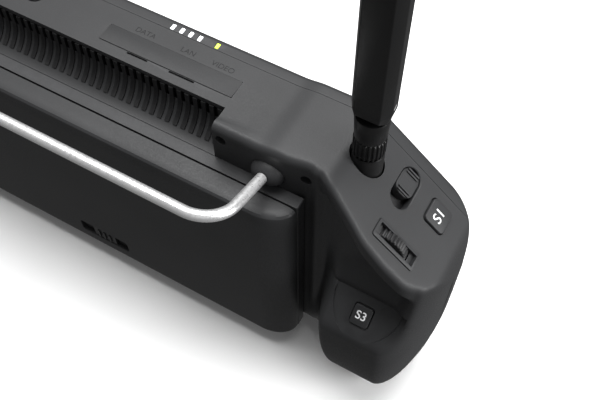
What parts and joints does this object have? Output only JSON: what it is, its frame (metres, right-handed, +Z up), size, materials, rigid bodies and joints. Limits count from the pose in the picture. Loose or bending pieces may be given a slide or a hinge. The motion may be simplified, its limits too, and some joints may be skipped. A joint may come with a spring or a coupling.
{
  "type": "radio transmitter controller",
  "caption": "Handheld ground station: wide screen between two rounded grips, stick gimbals, shoulder and rear keys, dials, folding antennas, wire bail and slide-out battery.",
  "frame": {"origin": "on the table under the middle of the outer box, with the controller standing upright on its two grips", "axes": "+X to the user's right, -Y out of the screen, +Y towards the battery, +Z up along the antennas"},
  "size_m": [0.303, 0.0881, 0.285],
  "materials": {
    "case_plastic": "fine textured, matte",
    "dark_plastic": "smooth, satin",
    "antenna_plastic": "satin moulded",
    "bright_steel": "polished wire",
    "screw_steel": "blackened",
    "black_alloy": "black anodised",
    "screen_glass": "gloss cover glass",
    "circuit_board": "solder mask",
    "white_light": "lit light pipe",
    "green_light": "lit light pipe",
    "flap_rubber": "matte rubber",
    "cell_foil": "foil pouch"
  },
  "bodies": {
    "case": {"front_shell": "case_plastic", "rear_shell": "case_plastic", "battery_bay": "case_plastic", "heat_sink": "black_alloy", "cover_glass": "screen_glass", "display_panel": "dark_plastic", "main_board": "circuit_board", "radio_board": "circuit_board", "data_port": "bright_steel", "network_port": "bright_steel", "video_port": "bright_steel", "battery_light_1": "white_light", "battery_light_2": "white_light", "battery_light_3": "white_light", "battery_light_4": "white_light", "status_light": "green_light", "rear_screw_1": "screw_steel", "rear_screw_2": "screw_steel", "rear_screw_3": "screw_steel", "rear_screw_4": "screw_steel", "left_antenna_jack": "antenna_plastic", "left_gimbal_frame": "black_alloy", "left_dial_bezel": "case_plastic", "left_switch_body": "dark_plastic", "right_antenna_jack": "antenna_plastic", "right_gimbal_frame": "black_alloy", "right_dial_bezel": "case_plastic", "right_switch_body": "dark_plastic"},
    "bail": {"bail_rod": "bright_steel", "left_bail_pivot": "dark_plastic", "right_bail_pivot": "dark_plastic"},
    "left_collar": {"left_antenna_collar": "antenna_plastic"},
    "left_swivel": {"left_antenna_sleeve": "antenna_plastic"},
    "left_mast": {"left_antenna_blade": "antenna_plastic"},
    "left_yoke": {"left_stick_yoke": "black_alloy"},
    "left_stick": {"left_stick": "black_alloy"},
    "left_dial": {"left_dial_wheel": "dark_plastic"},
    "left_switch": {"left_mode_slider": "dark_plastic"},
    "right_collar": {"right_antenna_collar": "antenna_plastic"},
    "right_swivel": {"right_antenna_sleeve": "antenna_plastic"},
    "right_mast": {"right_antenna_blade": "antenna_plastic"},
    "right_yoke": {"right_stick_yoke": "black_alloy"},
    "right_stick": {"right_stick": "black_alloy"},
    "right_dial": {"right_dial_wheel": "dark_plastic"},
    "right_switch": {"right_mode_slider": "dark_plastic"},
    "key_s1": {"shoulder_key_s1": "dark_plastic"},
    "key_s2": {"shoulder_key_s2": "dark_plastic"},
    "key_s3": {"rear_key_s3": "dark_plastic"},
    "key_s4": {"rear_key_s4": "dark_plastic"},
    "front_key_1": {"front_key_1": "dark_plastic"},
    "front_key_2": {"front_key_2": "dark_plastic"},
    "front_key_3": {"front_key_3": "dark_plastic"},
    "front_key_4": {"front_key_4": "dark_plastic"},
    "power_key": {"power_key": "dark_plastic"},
    "port_flap": {"port_flap": "flap_rubber"},
    "battery_pack": {"battery_pack": "case_plastic", "battery_cell_1": "cell_foil", "battery_cell_2": "cell_foil", "battery_cell_3": "cell_foil"},
    "battery_latch": {"battery_latch": "dark_plastic"}
  },
  "joints": [
    {"name": "bail_fold", "type": "hinge", "parent": "case", "child": "bail", "pos_m": [0, 0.0095, 0.1185], "axis": [1, 0, 0], "range_deg": [-34, 35]},
    {"name": "left_collar_turn", "type": "hinge", "parent": "case", "child": "left_collar", "pos_m": [-0.111, -0.006, 0.136], "axis": [0, 0, 1], "continuous": true},
    {"name": "left_mast_swivel", "type": "hinge", "parent": "case", "child": "left_swivel", "pos_m": [-0.111, -0.006, 0.145], "axis": [0, 0, 1], "continuous": true},
    {"name": "left_mast_tilt", "type": "hinge", "parent": "left_swivel", "child": "left_mast", "pos_m": [-0.111, -0.006, 0.158], "axis": [1, 0, 0], "range_deg": [0, 90]},
    {"name": "left_stick_pitch", "type": "hinge", "parent": "case", "child": "left_yoke", "pos_m": [-0.118, -0.014, 0.084], "axis": [1, 0, 0], "range_deg": [-22, 22], "stiffness_Nm_per_rad": 0.03},
    {"name": "left_stick_roll", "type": "hinge", "parent": "left_yoke", "child": "left_stick", "pos_m": [-0.118, -0.014, 0.084], "axis": [0, 0, 1], "range_deg": [-22, 22], "stiffness_Nm_per_rad": 0.03},
    {"name": "left_dial_turn", "type": "hinge", "parent": "case", "child": "left_dial", "pos_m": [-0.1262, 0.00925, 0.10471], "axis": [0, 1, 0], "range_deg": [-30, 30], "stiffness_Nm_per_rad": 0.004},
    {"name": "left_switch_slide", "type": "slide", "parent": "case", "child": "left_switch", "axis": [0, 1, 0], "range_m": [0, 0.0048]},
    {"name": "right_collar_turn", "type": "hinge", "parent": "case", "child": "right_collar", "pos_m": [0.111, -0.006, 0.136], "axis": [0, 0, 1], "continuous": true},
    {"name": "right_mast_swivel", "type": "hinge", "parent": "case", "child": "right_swivel", "pos_m": [0.111, -0.006, 0.145], "axis": [0, 0, 1], "continuous": true},
    {"name": "right_mast_tilt", "type": "hinge", "parent": "right_swivel", "child": "right_mast", "pos_m": [0.111, -0.006, 0.158], "axis": [1, 0, 0], "range_deg": [0, 90]},
    {"name": "right_stick_pitch", "type": "hinge", "parent": "case", "child": "right_yoke", "pos_m": [0.118, -0.014, 0.084], "axis": [1, 0, 0], "range_deg": [-22, 22], "stiffness_Nm_per_rad": 0.03},
    {"name": "right_stick_roll", "type": "hinge", "parent": "right_yoke", "child": "right_stick", "pos_m": [0.118, -0.014, 0.084], "axis": [0, 0, 1], "range_deg": [-22, 22], "stiffness_Nm_per_rad": 0.03},
    {"name": "right_dial_turn", "type": "hinge", "parent": "case", "child": "right_dial", "pos_m": [0.1262, 0.00925, 0.10471], "axis": [0, 1, 0], "range_deg": [-30, 30], "stiffness_Nm_per_rad": 0.004},
    {"name": "right_switch_slide", "type": "slide", "parent": "case", "child": "right_switch", "axis": [0, 1, 0], "range_m": [0, 0.0048]},
    {"name": "key_s1_press", "type": "slide", "parent": "case", "child": "key_s1", "axis": [0.632, 0, -0.7749], "range_m": [0, 0.0008], "stiffness_N_per_m": 300},
    {"name": "key_s2_press", "type": "slide", "parent": "case", "child": "key_s2", "axis": [-0.632, 0, -0.7749], "range_m": [0, 0.0008], "stiffness_N_per_m": 300},
    {"name": "key_s3_press", "type": "slide", "parent": "case", "child": "key_s3", "axis": [0, -0.6508, -0.7593], "range_m": [0, 0.0008], "stiffness_N_per_m": 300},
    {"name": "key_s4_press", "type": "slide", "parent": "case", "child": "key_s4", "axis": [0, -0.6508, -0.7593], "range_m": [0, 0.0008], "stiffness_N_per_m": 300},
    {"name": "front_key_1_press", "type": "slide", "parent": "case", "child": "front_key_1", "axis": [0, 1, 0], "range_m": [0, 0.0008], "stiffness_N_per_m": 300},
    {"name": "front_key_2_press", "type": "slide", "parent": "case", "child": "front_key_2", "axis": [0, 1, 0], "range_m": [0, 0.0008], "stiffness_N_per_m": 300},
    {"name": "front_key_3_press", "type": "slide", "parent": "case", "child": "front_key_3", "axis": [0, 1, 0], "range_m": [0, 0.0008], "stiffness_N_per_m": 300},
    {"name": "front_key_4_press", "type": "slide", "parent": "case", "child": "front_key_4", "axis": [0, 1, 0], "range_m": [0, 0.0008], "stiffness_N_per_m": 300},
    {"name": "power_key_press", "type": "slide", "parent": "case", "child": "power_key", "axis": [0, 0, -1], "range_m": [0, 0.0008], "stiffness_N_per_m": 300},
    {"name": "port_flap_open", "type": "hinge", "parent": "case", "child": "port_flap", "pos_m": [-0.03175, -0.0107, 0.1298], "axis": [1, 0, 0], "range_deg": [0, 100]},
    {"name": "battery_pull", "type": "slide", "parent": "case", "child": "battery_pack", "axis": [0, 1, 0], "range_m": [0, 0.03]},
    {"name": "battery_latch_slide", "type": "slide", "parent": "battery_pack", "child": "battery_latch", "axis": [1, 0, 0], "range_m": [0, 0.006], "stiffness_N_per_m": 150}
  ]
}
